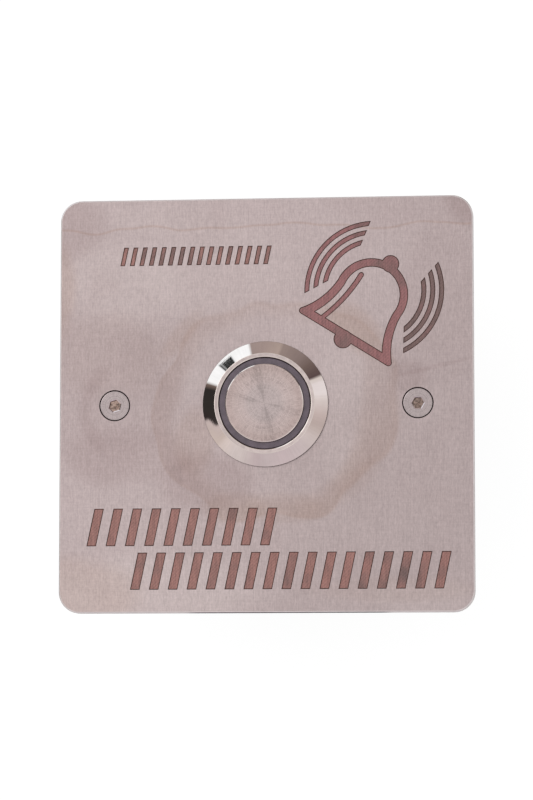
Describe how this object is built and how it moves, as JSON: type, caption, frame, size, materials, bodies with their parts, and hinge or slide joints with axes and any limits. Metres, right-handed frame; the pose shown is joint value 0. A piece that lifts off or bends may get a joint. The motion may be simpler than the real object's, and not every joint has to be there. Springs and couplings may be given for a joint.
{
  "type": "waiter call button",
  "caption": "Square brushed steel plate with a ring-lit metal push button, an etched bell and a round housing that drops into a counter and holds the switch, radio transmitter and cell.",
  "frame": {"origin": "on the button's axis, in the plane of the counter top, where the gasket's underside lies", "axes": "+Z out of the plate towards the user, +Y towards the plate's top edge, +X to the right as the user reads the plate"},
  "size_m": [0.082, 0.082, 0.0475],
  "materials": {
    "brushed_plate": "stainless steel sheet, fine upright brush, faint tide marks",
    "etch_enamel": "pinkish-brown enamel in shallow etching",
    "gasket_rubber": "black closed-cell rubber",
    "screw_steel": "stainless steel, turned",
    "polished_steel": "mirror polished stainless steel",
    "seal_rubber": "black nitrile rubber",
    "nut_plating": "nickel plated, machined",
    "spun_steel": "stainless steel, face turned to a radial shine",
    "smoked_guide": "smoked clear acrylic, unlit",
    "contact_alloy": "silver plated copper alloy",
    "spring_steel": "drawn stainless wire",
    "circuit_board": "green glass-epoxy board with solder resist",
    "lamp_body": "white lamp body with a clear drop",
    "switch_plastic": "black glass-filled nylon",
    "sleeve_plastic": "red heat-shrink",
    "lead_yellow": "yellow PVC",
    "lead_black": "black PVC",
    "lead_red": "red PVC",
    "lead_white": "white PVC",
    "housing_plastic": "dark grey moulded ABS, fine spark texture",
    "insert_brass": "knurled brass",
    "chip_plastic": "black epoxy package",
    "can_metal": "plated metal can",
    "aerial_wire": "sprung copper alloy wire",
    "capacitor_sleeve": "dark blue printed-free sleeve",
    "connector_plastic": "natural nylon",
    "holder_plastic": "black polypropylene",
    "cell_jacket": "plain lacquered steel jacket",
    "contact_nickel": "nickel plated spring steel"
  },
  "bodies": {
    "panel": {"face_plate": "brushed_plate", "bell_fill": "etch_enamel", "sound_arcs_fill": "etch_enamel", "bar_rows_fill": "etch_enamel", "plate_gasket": "gasket_rubber", "plate_screws": "screw_steel", "switch_bushing": "polished_steel", "bushing_seal": "seal_rubber", "lock_washer": "nut_plating", "lock_nut": "nut_plating", "return_spring": "spring_steel", "lamp_board": "circuit_board", "ring_lamps": "lamp_body", "contact_housing": "switch_plastic", "terminal_base": "switch_plastic", "signal_terminals": "contact_alloy", "lamp_terminals": "contact_alloy", "blade_sleeves": "sleeve_plastic", "signal_lead_left": "lead_yellow", "lamp_lead_front": "lead_black", "lamp_lead_rear": "lead_red", "signal_lead_right": "lead_white", "housing": "housing_plastic", "screw_inserts": "insert_brass", "transmitter_board": "circuit_board", "board_screws": "screw_steel", "radio_chip": "chip_plastic", "resonator": "can_metal", "antenna_coil": "aerial_wire", "capacitor": "capacitor_sleeve", "lead_connector": "connector_plastic", "battery_holder": "holder_plastic", "battery": "cell_jacket", "battery_contacts": "contact_nickel", "battery_spring": "contact_nickel"},
    "button": {"button_cap": "spun_steel", "light_guide": "smoked_guide", "plunger_ring": "seal_rubber", "contact_bridge": "contact_alloy", "bridge_clip": "spring_steel"}
  },
  "joints": [
    {"name": "button_press", "type": "slide", "parent": "panel", "child": "button", "axis": [0, 0, -1], "range_m": [0, 0.0025], "stiffness_N_per_m": 800, "springref_m": -0.004, "deforming": ["return_spring"]}
  ]
}
